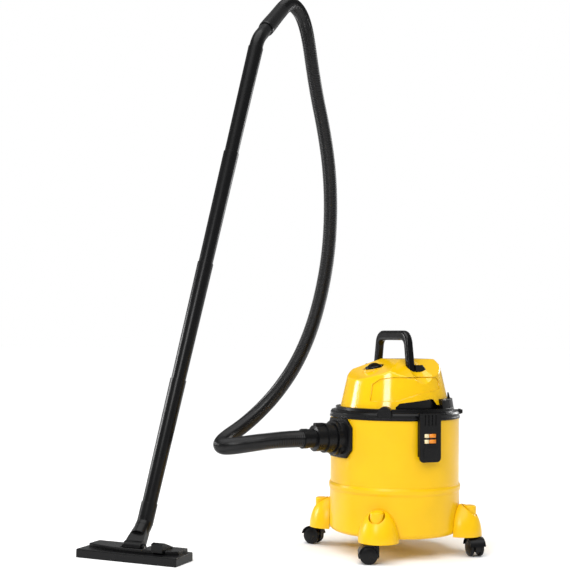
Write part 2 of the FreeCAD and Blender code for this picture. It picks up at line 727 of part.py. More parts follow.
def filter_cartridge():
    """Pleated sleeve between two end rings."""
    pleats = 48
    corners = []
    for index in range(pleats):
        radius = 61 if index % 2 == 0 else 54
        corners.append(heading(360.0 * index / pleats) * radius + Z_AXIS * 210)
    sleeve = prism(corners, Z_AXIS * 102).cut(upright(48.5, 0, 0, 200, 320))
    low = upright(62, 0, 0, 206, 211).cut(upright(46, 0, 0, 200, 320))
    high = upright(62, 0, 0, 311, 316.5).cut(upright(46, 0, 0, 200, 320))
    return joined(sleeve, low, high)


def cord_gland():
    """Stub through which the power cord leaves the head."""
    out = heading(GLAND_HEADING)
    centre = Z_AXIS * GLAND_Z
    body = rod(GLAND_R, out * 133 + centre, out * 160.5 + centre)
    nut = rod(GLAND_R + 1.4, out * 151.2 + centre, out * 156.5 + centre)
    return joined(body, nut).cut(rod(3.2, out * 130 + centre, out * 165 + centre))


def blower_port():
    return pipe(PORT_OUTER_R, PORT_BORE_R, Vector(0, 120, PORT_Z), Vector(0, 153, PORT_Z))


# ---------------------------------------------------------------- latches
def latch():
    """Over-centre latch, built on +X."""
    front_x = LATCH_FACE_X + LATCH_THICK
    plate = box(LATCH_FACE_X, front_x, -LATCH_HALF, LATCH_HALF, LATCH_LOW_Z, LATCH_HIGH_Z)
    corners = [e for e in plate.Edges if e.BoundBox.XLength > 3 and e.CenterOfMass.z < LATCH_LOW_Z + 1]
    plate = plate.makeFillet(10, corners)
    for y in (-LATCH_HALF, LATCH_HALF - 2):
        plate = plate.fuse(box(155, LATCH_FACE_X, y, y + 2, LATCH_LOW_Z + 12, 312))
    rib = box(TANK_R + 3.7, LATCH_FACE_X, -12, 12, 225, 231)
    barrel = latch_pin_line(3.9, 16.8)
    bridge = box(LATCH_PIN_X, LATCH_FACE_X, -16.8, 16.8, LATCH_PIN_Z - 3.9, LATCH_PIN_Z + 1)
    pad = box(front_x - 1, front_x + 1.5, -17, 17, LATCH_LOW_Z + 7, 253)
    pad = pad.makeFillet(6, [e for e in pad.Edges if e.BoundBox.XLength > 2])
    shape = joined(plate, rib, barrel, bridge, pad)
    shape = shape.cut(latch_pin_line(LATCH_PIN_R + RUNNING_GAP, 30))
    for y in (-13.5, -4.5, 4.5, 13.5):
        shape = shape.cut(box(LATCH_FACE_X + 1.2, 170, y - 1.6, y + 1.6, 300, 324))
    window = box(LATCH_FACE_X + 2.0, 170, -17, 17, 259, 284)
    return shape.cut(window)


def latch_pins():
    pin = turned_by(latch_pin_line(LATCH_PIN_R, 21.5), LATCH_TURN)
    return group([pin, mirrored_x(pin)])


# ---------------------------------------------------------------- hose
def bend_radius(before, corner, after):
    first = corner - before
    second = after - corner
    turn = first.getAngle(second)
    return 0.45 * min(first.Length, second.Length) / math.tan(turn / 2), turn


def hose_path(points):
    edges = []
    here = points[0]
    for before, corner, after in zip(points, points[1:], points[2:]):
        radius, turn = bend_radius(before, corner, after)
        setback = radius * math.tan(turn / 2)
        into = unit(corner - before)
        out = unit(after - corner)
        start = corner - into * setback
        end = corner + out * setback
        inward = unit(out - into)
        centre = corner + inward * math.sqrt(radius ** 2 + setback ** 2)
        middle = centre - inward * radius
        edges.append(Part.LineSegment(here, start).toShape())
        edges.append(Part.Arc(start, middle, end).toShape())
        here = end
    edges.append(Part.LineSegment(here, points[-1]).toShape())
    return Part.Wire(edges)


def hose():
    points = [Vector(*p) for p in HOSE_ROUTE]
    radii = [bend_radius(a, b, c)[0] for a, b, c in zip(points, points[1:], points[2:])]
    path = hose_path(points)
    start_direction = points[1] - points[0]
    rings = []
    for radius in (HOSE_R, HOSE_BORE_R):
        rings.append(Part.Wire(Part.makeCircle(radius, points[0], start_direction)))
    outer = path.makePipeShell([rings[0]], True, False)
    inner = path.makePipeShell([rings[1]], True, False)
    shape = outer.cut(inner)
    expected = math.pi * (HOSE_R ** 2 - HOSE_BORE_R ** 2) * path.Length
    print("hose length", round(path.Length), "smallest radius", round(min(radii)),
          "radii", [round(r) for r in radii], "volume ratio", round(shape.Volume / expected, 4))
    return shape


# ---------------------------------------------------------------- wand
WAND = lean(WAND_LEAN, WAND_HEADING)
NOZZLE_NECK = lean(NECK_LEAN, NOZZLE_YAW + 90)
WAND_FOOT = NOZZLE_CENTRE + Z_AXIS * PIVOT_Z + NOZZLE_NECK * NECK_REACH + WAND * SLEEVE_LENGTH
WAND_TOP = WAND_FOOT + WAND * (4 * TUBE_PITCH)
GRIP_KNEE = WAND_TOP + WAND * GRIP_CORNER
HOSE_END = Vector(*HOSE_ROUTE[-1])
GRIP = unit(HOSE_END - GRIP_KNEE)
GRIP_LENGTH = (HOSE_END - GRIP_KNEE).Length


def wand_tube(index):
    socket = TUBE_R_LOW + RUNNING_GAP
    body = turned([
        (TUBE_BORE_R, -SPIGOT), (TUBE_R_LOW, -SPIGOT), (TUBE_R_LOW, 0), (TUBE_R_HIGH, TUBE_PITCH - 0.2),
        (socket, TUBE_PITCH - 0.2), (socket, TUBE_PITCH - SPIGOT - 0.5),
        (TUBE_BORE_R, TUBE_PITCH - SPIGOT - 0.5),
    ])
    return aimed(body, WAND_FOOT + WAND * (TUBE_PITCH * index), WAND)


def grip_sweep(radius):
    setback = 22.0
    start = WAND_TOP - WAND * SPIGOT
    bend_in = GRIP_KNEE - WAND * setback
    bend_out = GRIP_KNEE + GRIP * setback
    turn = WAND.getAngle(GRIP)
    bend = setback / math.tan(turn / 2)
    inward = unit(GRIP - WAND)
    centre = GRIP_KNEE + inward * math.sqrt(bend ** 2 + setback ** 2)
    middle = centre - inward * bend
    end = GRIP_KNEE + GRIP * (CUFF_START + 40)
    path = Part.Wire([Part.LineSegment(start, bend_in).toShape(),
                      Part.Arc(bend_in, middle, bend_out).toShape(),
                      Part.LineSegment(bend_out, end).toShape()])
    return path.makePipeShell([Part.Wire(Part.makeCircle(radius, start, WAND))], True, False)


def wand_grip():
    return grip_sweep(TUBE_R_LOW).cut(grip_sweep(TUBE_BORE_R))


def hose_cuff_wand():
    length = GRIP_LENGTH - CUFF_START
    socket = TUBE_R_LOW + RUNNING_GAP
    body = turned([
        (socket, 0), (19.6, 0), (20.2, 6), (20.2, 34), (19.6, 60), (19.2, 100), (19.2, length),
        (HOSE_BORE_R, length), (HOSE_BORE_R, 41), (socket, 41),
    ])
    return aimed(body, GRIP_KNEE + GRIP * CUFF_START, GRIP)


# ---------------------------------------------------------------- nozzle (at the origin, length on X)
def nozzle_placed(shape):
    return moved(turned_by(shape, NOZZLE_YAW), NOZZLE_CENTRE)


PIVOT = Vector(0, 0, PIVOT_Z)
NECK = Vector(0, math.sin(math.radians(NECK_LEAN)), math.cos(math.radians(NECK_LEAN)))
ELBOW_KNEE = PIVOT + NECK * NECK_REACH


def to_nozzle(vector):
    """Direction or offset from the object's frame into the nozzle's own frame."""
    turn = math.radians(-NOZZLE_YAW)
    return Vector(vector.x * math.cos(turn) - vector.y * math.sin(turn),
                  vector.x * math.sin(turn) + vector.y * math.cos(turn), vector.z)


def nozzle_elbow():
    knee = ELBOW_KNEE
    top = to_nozzle(WAND_FOOT - NOZZLE_CENTRE)
    along = unit(top - knee)
    swivel = PIVOT + NECK * (SWIVEL_S + FACE_GAP)
    body = joined(rod(18.8, knee, top - along * 0.2), Part.makeSphere(18.8, knee), rod(18.8, swivel, knee))
    body = body.cut(rod(40, PIVOT, swivel))
    spigot = rod(12, PIVOT + NECK * 38, swivel + NECK * 2)
    shape = joined(body, spigot)
    shape = shape.cut(rod(TUBE_R_LOW + RUNNING_GAP, top - along * (SPIGOT + 0.5), top + along * 10))
    shape = shape.cut(rod(14, knee, top))
    return shape.cut(rod(9.5, PIVOT + NECK * 30, knee + NECK * 2))


def nozzle_neck():
    side = NECK.cross(X_AXIS)
    half = 9.0
    start = PIVOT - side * half
    wedge = prism([start - X_AXIS * 22, start + X_AXIS * 22, start + X_AXIS * 22 + NECK * 12,
                   start + X_AXIS * 17 + NECK * 44, start - X_AXIS * 17 + NECK * 44,
                   start - X_AXIS * 22 + NECK * 12], side * (2 * half))
    barrel = rod(13, PIVOT - X_AXIS * 22, PIVOT + X_AXIS * 22)
    collar = rod(18.6, PIVOT + NECK * 30, PIVOT + NECK * SWIVEL_S)
    shape = joined(wedge, barrel, collar)
    shape = shape.cut(rod(12 + RUNNING_GAP, PIVOT + NECK * 37, PIVOT + NECK * 60))
    shape = shape.cut(rod(8.5, PIVOT, PIVOT + NECK * 60))
    shape = shape.cut(rod(8.5, PIVOT - Z_AXIS * 20, PIVOT))
    return shape.cut(rod(3 + RUNNING_GAP, PIVOT - X_AXIS * 30, PIVOT - X_AXIS * 12)).cut(
        rod(3 + RUNNING_GAP, PIVOT + X_AXIS * 12, PIVOT + X_AXIS * 30))


def nozzle_body():
    half = NOZZLE_LENGTH / 2
    deep = NOZZLE_DEPTH / 2
    block = box(-half, half, -deep, deep, 0, NOZZLE_HEIGHT)
    block = block.makeFillet(4, [e for e in block.Edges if e.BoundBox.ZLength > 10])
    block = block.makeFillet(2.5, [e for e in block.Edges if e.CenterOfMass.z > NOZZLE_HEIGHT - 0.1])
    cheeks = [rod(7.5, PIVOT + X_AXIS * x, PIVOT + X_AXIS * (x + 5))
              .fuse(box(x, x + 5, -7.5, 7.5, 15, PIVOT_Z))
              for x in (22.4, -27.4)]
    posts = [box(x, x + 4, 0, 8, 15, 24.5) for x in (49.5, 84.5)]
    shape = joined(block, *cheeks, *posts)
    shape = shape.cut(box(-108, 108, -12, 12, -1, 9))
    shape = shape.cut(upright(9, 0, 0, -1, 16))
    shape = shape.cut(rod(13.4, PIVOT - X_AXIS * 22.35, PIVOT + X_AXIS * 22.35))
    for y in (-33, 27):
        shape = shape.cut(box(-112.5, 112.5, y, y + 6, -1, 15))
    for x in (-30, 20):
        shape = shape.cut(rod(3, Vector(x, 0, PIVOT_Z), Vector(x + 10, 0, PIVOT_Z)))
    return shape.cut(rod(2, Vector(48, 4, 22), Vector(90, 4, 22)))


def cover_outline(inset, z0, z1):
    """Raised panel with a bowed front edge."""
    left = Vector(-114 + inset, -4 + inset, z0)
    front = Vector(0, -23 + inset, z0)
    right = Vector(114 - inset, -4 + inset, z0)
    back_right = Vector(114 - inset, 37 - inset, z0)
    back_left = Vector(-114 + inset, 37 - inset, z0)
    edge = Part.Arc(left, front, right).toShape()
    wire = Part.Wire([edge, Part.makeLine(right, back_right), Part.makeLine(back_right, back_left),
                      Part.makeLine(back_left, left)])
    return Part.Face(wire).extrude(Z_AXIS * (z1 - z0))


def nozzle_cover():
    top = 27.0
    shape = cover_outline(0, NOZZLE_HEIGHT, top)
    shape = shape.makeFillet(1.5, [e for e in shape.Edges if e.CenterOfMass.z > top - 0.1])
    shape = shape.cut(cover_outline(2.5, NOZZLE_HEIGHT, top - 2.2))
    shape = shape.cut(box(-28, 28, -17, 60, 0, 60))
    return shape.cut(box(54, 84.3, -23.5, 30, 0, 60))


def nozzle_pedal():
    shape = outline_x([(-21.5, 22), (-21.5, 41), (-12, 43), (27.5, 29), (27.5, 21.5), (10, 19.8), (-2, 19.8)],
                      55.2, 83.0)
    return shape.cut(rod(2 + RUNNING_GAP, Vector(50, 4, 22), Vector(90, 4, 22)))


def nozzle_pins():
    left = rod(3, PIVOT - X_AXIS * 27.4, PIVOT - X_AXIS * 12.5)
    right = rod(3, PIVOT + X_AXIS * 12.5, PIVOT + X_AXIS * 27.4)
    pedal_pin = rod(2, Vector(49.5, 4, 22), Vector(88.5, 4, 22))
    return group([left, right, pedal_pin])


def nozzle_brushes():
    return group([box(-112, 112, y + 0.4, y + 5.6, 0.8, 12) for y in (-33, 27)])


# ---------------------------------------------------------------- write every piece
def main():
    save("tank", tank())
    one_foot = foot()
    for corner, angle in CORNERS.items():
        save("foot_" + corner, turned_by(one_foot, angle))
        save("caster_stem_" + corner, caster_placed(caster_stem(), corner))
        save("caster_hood_" + corner, caster_placed(caster_hood(), corner))
        save("caster_axle_" + corner, caster_placed(caster_axle(), corner))
        save("caster_wheels_" + corner, caster_placed(caster_wheels(), corner))
    save("foot_screws", foot_screws())
    save("inlet_flange", inlet_flange())
    save("inlet_gasket", inlet_gasket())
    save("inlet_screws", inlet_screws())
    save("hose_cuff_tank", hose_cuff_tank())
    save("head_base", head_base())
    save("head_seal", head_seal())
    save("head_cover", head_cover())
    save("head_screws", head_screws())
    save("carry_handle", carry_handle())
    save("switch_knob", switch_knob())
    save("switch_body", switch_body())
    save("motor_housing", motor_housing())
    save("motor_stator", motor_stator())
    save("motor_rotor", motor_rotor())
    save("impeller", impeller())
    save("fan_housing", fan_housing())
    save("float_cage", float_cage())
    save("float_ball", float_ball())
    save("filter_cartridge", filter_cartridge())
    save("cord_gland", cord_gland())
    save("blower_port", blower_port())
    right_latch = turned_by(latch(), LATCH_TURN)
    save("latch_right", right_latch)
    save("latch_left", mirrored_x(right_latch))
    save("latch_pins", latch_pins())
    save("hose", hose())
    for index in range(4):
        save("wand_tube_" + str(index + 1), wand_tube(index))
    save("wand_grip", wand_grip())
    save("hose_cuff_wand", hose_cuff_wand())
    save("nozzle_elbow", nozzle_placed(nozzle_elbow()))
    save("nozzle_neck", nozzle_placed(nozzle_neck()))
    save("nozzle_body", nozzle_placed(nozzle_body()))
    save("nozzle_cover", nozzle_placed(nozzle_cover()))
    save("nozzle_pedal", nozzle_placed(nozzle_pedal()))
    save("nozzle_pins", nozzle_placed(nozzle_pins()))
    save("nozzle_brushes", nozzle_placed(nozzle_brushes()))


main()
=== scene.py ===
import bpy
import bmesh
import json
import math
from mathutils import Matrix, Vector


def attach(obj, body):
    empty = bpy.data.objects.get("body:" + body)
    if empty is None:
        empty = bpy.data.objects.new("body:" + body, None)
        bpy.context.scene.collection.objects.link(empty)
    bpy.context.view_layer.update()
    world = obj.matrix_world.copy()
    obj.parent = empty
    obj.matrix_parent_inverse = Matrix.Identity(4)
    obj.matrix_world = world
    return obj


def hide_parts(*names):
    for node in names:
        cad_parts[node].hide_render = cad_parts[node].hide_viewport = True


# Looks of a shop vacuum around its CAD frame. Metres, origin on the floor under the tank's axis.

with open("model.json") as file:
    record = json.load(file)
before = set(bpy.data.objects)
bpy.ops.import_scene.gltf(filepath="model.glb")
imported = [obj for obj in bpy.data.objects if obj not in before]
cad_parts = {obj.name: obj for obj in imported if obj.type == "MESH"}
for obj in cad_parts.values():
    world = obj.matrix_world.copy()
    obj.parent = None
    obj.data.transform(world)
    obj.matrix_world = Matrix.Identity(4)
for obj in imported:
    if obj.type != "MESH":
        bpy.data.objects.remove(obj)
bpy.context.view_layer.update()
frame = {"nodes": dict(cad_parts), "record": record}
NODES = frame["nodes"]
CORNERS = ("front_right", "front_left", "rear_right", "rear_left")
UP = Vector((0.0, 0.0, 1.0))


# ---------------------------------------------------------------- camera
CAMERA_SPOT = Vector((2.1946, -1.4060, 0.4927))
CAMERA_HEADING = math.radians(153.1)
CAMERA_PITCH = math.radians(2.74)
CAMERA_ROLL = math.radians(0.53)
SENSOR_MM = 36.0
LENS_MM = 69.19
NEAREST_SEEN = 0.05
FARTHEST_SEEN = 50.0


def add_camera():
    """Long-lens camera in front of the tank, pitched up a little and slightly rolled."""
    data = bpy.data.cameras.new("photo_camera")
    data.sensor_width = SENSOR_MM
    data.sensor_fit = "HORIZONTAL"
    data.lens = LENS_MM
    data.clip_start = NEAREST_SEEN
    data.clip_end = FARTHEST_SEEN
    level = Vector((math.cos(CAMERA_HEADING), math.sin(CAMERA_HEADING), 0.0))
    ahead = level * math.cos(CAMERA_PITCH) + UP * math.sin(CAMERA_PITCH)
    right = ahead.cross(UP).normalized()
    up = right.cross(ahead)
    rolled_right = right * math.cos(CAMERA_ROLL) + up * math.sin(CAMERA_ROLL)
    rolled_up = up * math.cos(CAMERA_ROLL) - right * math.sin(CAMERA_ROLL)
    turn = Matrix((rolled_right, rolled_up, -ahead)).transposed().to_4x4()
    camera = bpy.data.objects.new("photo_camera", data)
    camera.matrix_world = Matrix.Translation(CAMERA_SPOT) @ turn
    bpy.context.scene.collection.objects.link(camera)
    bpy.context.scene.camera = camera


# ---------------------------------------------------------------- hose
HOSE_CREST_RADIUS = 0.0192
HOSE_RIB_DEPTH = 0.0018
HOSE_RIB_PITCH = 0.0048
HOSE_STEPS_PER_RIB = 6
HOSE_SIDES = 28
ROUTE_RESOLUTION = 24
SMALLEST_GAP = 1e-9

# Control points of the hose's centre line, from the tank cuff to the wand cuff.
HOSE_ROUTE = [
    (0, -0.247, 0.265), (0, -0.291, 0.265), (-0.018, -0.333, 0.260), (-0.052, -0.364, 0.252),
    (-0.095, -0.379, 0.244), (-0.147, -0.377, 0.239), (-0.205, -0.356, 0.239), (-0.268, -0.313, 0.247),
    (-0.321, -0.247, 0.267), (-0.364, -0.177, 0.302), (-0.396, -0.109, 0.351), (-0.416, -0.046, 0.420),
    (-0.427, 0.003, 0.506), (-0.431, 0.038, 0.610), (-0.435, 0.062, 0.726), (-0.445, 0.074, 0.849),
    (-0.464, 0.078, 0.969), (-0.488, 0.072, 1.082), (-0.502, 0.058, 1.172), (-0.503, 0.043, 1.252),
    (-0.493, 0.026, 1.319), (-0.475, 0.005, 1.362), (-0.450, -0.024, 1.388), (-0.421, -0.060, 1.397),
    (-0.39178, -0.09637, 1.38715), (-0.367, -0.126, 1.357),
]


def smooth_line(points):
    """Points along the NURBS curve that has the given control points."""
    data = bpy.data.curves.new("route", "CURVE")
    data.dimensions = "3D"
    data.resolution_u = ROUTE_RESOLUTION
    spline = data.splines.new("NURBS")
    spline.points.add(len(points) - 1)
    for point, place in zip(spline.points, points):
        point.co = (*place, 1.0)
    spline.order_u = 3
    spline.use_endpoint_u = True
    holder = bpy.data.objects.new("route", data)
    bpy.context.scene.collection.objects.link(holder)
    mesh = bpy.data.meshes.new_from_object(holder)
    line = [v.co.copy() for v in mesh.vertices]
    bpy.data.objects.remove(holder)
    bpy.data.curves.remove(data)
    bpy.data.meshes.remove(mesh)
    return line


def line_length(line):
    """Length of a chain of points."""
    return sum((b - a).length for a, b in zip(line, line[1:]))


def resampled(line, spacing):
    """The same line with even steps, as (point, distance) pairs."""
    total = line_length(line)
    count = max(2, round(total / spacing))
    step = total / count
    result = [(line[0].copy(), 0.0)]
    walked = 0.0
    target = step
    for a, b in zip(line, line[1:]):
        gap = (b - a).length
        while gap > 0 and target <= walked + gap + SMALLEST_GAP and len(result) < count:
            result.append((a.lerp(b, (target - walked) / gap), target))
            target += step
        walked += gap
    result.append((line[-1].copy(), total))
    return result


def ring_around(bm, point, side, other, radius, count):
    """Ring of vertices in the plane of two crossing directions."""
    ring = []
    for step in range(count):
        angle = 2 * math.pi * step / count
        spoke = side * math.cos(angle) + other * math.sin(angle)
        ring.append(bm.verts.new(point + spoke * radius))
    return ring


def bridge(bm, low, high):
    """Band of faces between two rings of the same count."""
    count = len(low)
    for step in range(count):
        after = (step + 1) % count
        bm.faces.new((low[step], low[after], high[after], high[step]))


def ribbed_tube(name, line, spacing, radius_at):
    """Mesh tube along the line; radius_at gives the radius at a distance along it."""
    places = resampled(line, spacing)
    mesh = bpy.data.meshes.new(name)
    bm = bmesh.new()
    rings = []
    side = None
    for index, (point, distance) in enumerate(places):
        before = places[max(index - 1, 0)][0]
        after = places[min(index + 1, len(places) - 1)][0]
        along = (after - before).normalized()
        if side is None:
            side = along.orthogonal().normalized()
        side = (side - along * side.dot(along)).normalized()
        other = along.cross(side)
        rings.append(ring_around(bm, point, side, other, radius_at(distance), HOSE_SIDES))
    for low, high in zip(rings, rings[1:]):
        bridge(bm, low, high)
    bm.faces.new(list(reversed(rings[0])))
    bm.faces.new(rings[-1])
    bm.normal_update()
    bm.to_mesh(mesh)
    bm.free()
    for polygon in mesh.polygons:
        polygon.use_smooth = True
    piece = bpy.data.objects.new(name, mesh)
    bpy.context.scene.collection.objects.link(piece)
    return piece


def add_hose():
    """Ribbed hose on the route, which ends in the wand cuff, in place of the CAD hose."""
    line = smooth_line(HOSE_ROUTE)
    total = line_length(line)
    pitch = total / round(total / HOSE_RIB_PITCH)

    def radius_at(distance):
        """Crests and grooves as a cosine wave of one rib pitch."""
        crest = 0.5 + 0.5 * math.cos(2 * math.pi * distance / pitch)
        return HOSE_CREST_RADIUS - HOSE_RIB_DEPTH * (1.0 - crest)

    hose = ribbed_tube("ribbed_hose", line, pitch / HOSE_STEPS_PER_RIB, radius_at)
    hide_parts("hose")
    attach(hose, "vacuum")
    return hose


# ---------------------------------------------------------------- materials
def linear(red, green, blue):
    """Display colour, 0 to 255 a channel, as a linear colour by the sRGB curve."""
    def one(value):
        value = value / 255.0
        if value <= 0.04045:
            return value / 12.92
        return ((value + 0.055) / 1.055) ** 2.4
    return (one(red), one(green), one(blue), 1.0)


# Finishes by name, filled in once the hose is made.
LOOKS = {}
NOISE_LOW = 0.3
NOISE_HIGH = 0.7
EDGE_SAMPLES = 6


class Material:
    """A node material with the shader at hand."""

    def __init__(self, name):
        self.material = bpy.data.materials.new(name)
        self.material.use_nodes = True
        self.tree = self.material.node_tree
        self.shader = self.tree.nodes["Principled BSDF"]
        self.place = self.tree.nodes.new("ShaderNodeTexCoord")

    def set(self, **values):
        """Plain values on the shader's own sockets."""
        for key, value in values.items():
            self.shader.inputs[key.replace("_", " ")].default_value = value

    def noise(self, scale, detail):
        node = self.tree.nodes.new("ShaderNodeTexNoise")
        node.inputs["Scale"].default_value = scale
        node.inputs["Detail"].default_value = detail
        self.tree.links.new(self.place.outputs["Object"], node.inputs["Vector"])
        return node.outputs["Fac"]

    def ramp(self, source, low, high):
        """Colour between two, over the noise's usual range."""
        node = self.tree.nodes.new("ShaderNodeValToRGB")
        node.color_ramp.elements[0].position = NOISE_LOW
        node.color_ramp.elements[0].color = low
        node.color_ramp.elements[1].position = NOISE_HIGH
        node.color_ramp.elements[1].color = high
        self.tree.links.new(source, node.inputs["Fac"])
        return node.outputs["Color"]

    def spread(self, source, low, high):
        """Number between two, over the noise's usual range."""
        node = self.tree.nodes.new("ShaderNodeMapRange")
        node.inputs["From Min"].default_value = NOISE_LOW
        node.inputs["From Max"].default_value = NOISE_HIGH
        node.inputs["To Min"].default_value = low
        node.inputs["To Max"].default_value = high
        self.tree.links.new(source, node.inputs["Value"])
        return node.outputs["Result"]

    def feed(self, source, socket):
        self.tree.links.new(source, self.shader.inputs[socket])

    def bump(self, source, distance, strength, edge=0.0):
        """Fine relief from the source, over edges that are rounded by the given radius."""
        node = self.tree.nodes.new("ShaderNodeBump")
        node.inputs["Distance"].default_value = distance
        node.inputs["Strength"].default_value = strength
        self.tree.links.new(source, node.inputs["Height"])
        if edge > 0:
            bevel = self.tree.nodes.new("ShaderNodeBevel")
            bevel.inputs["Radius"].default_value = edge
            bevel.samples = EDGE_SAMPLES
            self.tree.links.new(bevel.outputs["Normal"], node.inputs["Normal"])
        self.tree.links.new(node.outputs["Normal"], self.shader.inputs["Normal"])


def shade(rgba, factor):
    """The same colour, darker or lighter."""
    return (rgba[0] * factor, rgba[1] * factor, rgba[2] * factor, 1.0)


def plastic(name, colour, *, roughness, grain, depth, edge, specular=0.5):
    """Moulded plastic: slow colour drift, uneven gloss, fine grain and softened edges."""
    made = Material(name + "_look")
    drift = made.noise(scale=14.0, detail=4.0)
    gloss = made.noise(scale=60.0, detail=5.0)
    made.feed(made.ramp(drift, low=shade(colour, 0.95), high=shade(colour, 1.03)), "Base Color")
    made.feed(made.spread(gloss, low=roughness - 0.02, high=roughness + 0.03), "Roughness")
    made.bump(made.noise(scale=grain, detail=2.0), distance=depth, strength=0.3, edge=edge)
    made.set(Specular_IOR_Level=specular)
    LOOKS[name] = made.material


def metal(name, colour, roughness):
    """Zinc plate: mottled tone, uneven polish and fine scratches."""
    made = Material(name + "_look")
    made.set(Metallic=1.0)
    mottle = made.noise(scale=90.0, detail=4.0)
    polish = made.noise(scale=240.0, detail=5.0)
    made.feed(made.ramp(mottle, low=shade(colour, 0.82), high=colour), "Base Color")
    made.feed(made.spread(polish, low=roughness - 0.06, high=roughness + 0.1), "Roughness")
    made.bump(made.noise(scale=900.0, detail=2.0), distance=0.00008, strength=0.3, edge=0.0004)
    LOOKS[name] = made.material


def paper(name, colour):
    """Filter paper: fibrous, matt and slightly uneven in tone."""
    made = Material(name + "_look")
    tone = made.noise(scale=120.0, detail=6.0)
    made.feed(made.ramp(tone, low=shade(colour, 0.86), high=colour), "Base Color")
    made.set(Roughness=0.9)
    made.bump(made.noise(scale=1400.0, detail=4.0), distance=0.0002, strength=0.6)
    LOOKS[name] = made.material


TUFTS_PER_METRE = 900.0
STREAKS_UP_A_TUFT = 60.0


def bristle(name, colour):
    """Nylon tufts: fine upright streaks of light and dark."""
    made = Material(name + "_look")
    stretch = made.tree.nodes.new("ShaderNodeMapping")
    stretch.inputs["Scale"].default_value = (TUFTS_PER_METRE, TUFTS_PER_METRE, STREAKS_UP_A_TUFT)
    made.tree.links.new(made.place.outputs["Object"], stretch.inputs["Vector"])
    streaks = made.tree.nodes.new("ShaderNodeTexNoise")
    streaks.inputs["Scale"].default_value = 1.0
    made.tree.links.new(stretch.outputs["Vector"], streaks.inputs["Vector"])
    streak = streaks.outputs["Fac"]
    made.feed(made.ramp(streak, low=shade(colour, 0.4), high=shade(colour, 1.8)), "Base Color")
    made.set(Roughness=0.75)
    made.bump(streak, distance=0.0006, strength=0.8)
    LOOKS[name] = made.material


YELLOW = linear(238, 188, 6)
BLACK = linear(13, 13, 14)
JET = linear(7, 7, 8)
WHEEL_BLACK = linear(12, 12, 13)
HOSE_BLACK = linear(9, 9, 10)
RUBBER = linear(26, 26, 26)
WHITE = linear(228, 228, 224)
ORANGE = linear(236, 138, 26)
CREAM = linear(246, 226, 178)
NYLON = linear(40, 40, 42)
STEEL = linear(188, 188, 190)
PAPER = linear(228, 224, 208)
SPECIAL_LOOKS = {"head_cover": "yellow_gloss", "carry_handle": "black_gloss", "switch_knob": "black_gloss"}


def make_looks():
    """Every finish of the object."""
    plastic("yellow_shell", YELLOW, roughness=0.30, grain=700.0, depth=0.00002, edge=0.001, specular=0.3)
    plastic("yellow_gloss", YELLOW, roughness=0.13, grain=500.0, depth=0.00001, edge=0.002, specular=0.45)
    plastic("black_plastic", BLACK, roughness=0.28, grain=1600.0, depth=0.00004, edge=0.001, specular=0.2)
    plastic("black_gloss", JET, roughness=0.20, grain=700.0, depth=0.00001, edge=0.0014, specular=0.25)
    plastic("wheel_black", WHEEL_BLACK, roughness=0.28, grain=1300.0, depth=0.0001, edge=0.001, specular=0.2)
    plastic("hose_black", HOSE_BLACK, roughness=0.24, grain=1500.0, depth=0.00008, edge=0.0, specular=0.3)
    plastic("seal_rubber", RUBBER, roughness=0.70, grain=1300.0, depth=0.0001, edge=0.0005, specular=0.3)
    plastic("white_plastic", WHITE, roughness=0.35, grain=900.0, depth=0.0001, edge=0.001)
    plastic("label_orange", ORANGE, roughness=0.30, grain=900.0, depth=0.00005, edge=0.0004)
    plastic("label_cream", CREAM, roughness=0.30, grain=900.0, depth=0.00005, edge=0.0004)
    bristle("brush_nylon", NYLON)
    metal("plated_steel", STEEL, roughness=0.30)
    paper("filter_paper", PAPER)


def dress_nodes():
    """Gives every CAD node the look of its slot, or its own finish."""
    slots = {row["node"]: row["material_slot"] for row in frame["record"]["subparts"]}
    for name, node in NODES.items():
        node.data.materials.clear()
        node.data.materials.append(LOOKS[SPECIAL_LOOKS.get(name, slots[name])])


# ---------------------------------------------------------------- pieces
def piece_from(name, bm, look, body):
    """Smooth mesh piece with a look and the body that it rides on."""
    mesh = bpy.data.meshes.new(name)
    bm.normal_update()
    bm.to_mesh(mesh)
    bm.free()
    for polygon in mesh.polygons:
        polygon.use_smooth = True
    mesh.materials.append(LOOKS[look])
    piece = bpy.data.objects.new(name, mesh)
    bpy.context.scene.collection.objects.link(piece)
    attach(piece, body)
    return piece


WHEEL_SIDES = 64
# Half section of a wheel as (radius, distance from the caster's middle), from the hub's inner end to the
# centre of the outer face.
WHEEL_SECTION = [
    (0.0032, 0.0071), (0.0170, 0.0071), (0.0190, 0.0078), (0.0200, 0.0100), (0.0200, 0.0130),
    (0.0196, 0.0146), (0.0186, 0.0156), (0.0176, 0.0158), (0.0170, 0.0155), (0.0160, 0.0160),
    (0.0120, 0.0170), (0.0070, 0.0176), (0.0, 0.0178),
]


def joint_named(name):
    """The record's row of one joint."""
    return next(j for j in frame["record"]["behaviour"]["joints"] if j["name"] == name)


def add_wheels(corner):
    """Two wheels with softly domed faces."""
    joint = joint_named("wheel_roll_" + corner)
    centre = Vector(joint["pos_m"])
    axle = Vector(joint["axis"]).normalized()
    across = axle.cross(UP)
    bm = bmesh.new()
    for side in (-1.0, 1.0):
        rings = []
        for radius, out in WHEEL_SECTION[:-1]:
            middle = centre + axle * (side * out)
            rings.append(ring_around(bm, middle, UP, across * side, radius, WHEEL_SIDES))
        for low, high in zip(rings, rings[1:]):
            bridge(bm, low, high)
        tip = bm.verts.new(centre + axle * (side * WHEEL_SECTION[-1][1]))
        for step in range(WHEEL_SIDES):
            bm.faces.new((rings[-1][step], rings[-1][(step + 1) % WHEEL_SIDES], tip))
    bmesh.ops.recalc_face_normals(bm, faces=bm.faces)
    wheels = piece_from("domed_wheels_" + corner, bm, "wheel_black", "wheels_" + corner)
    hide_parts("caster_wheels_" + corner)


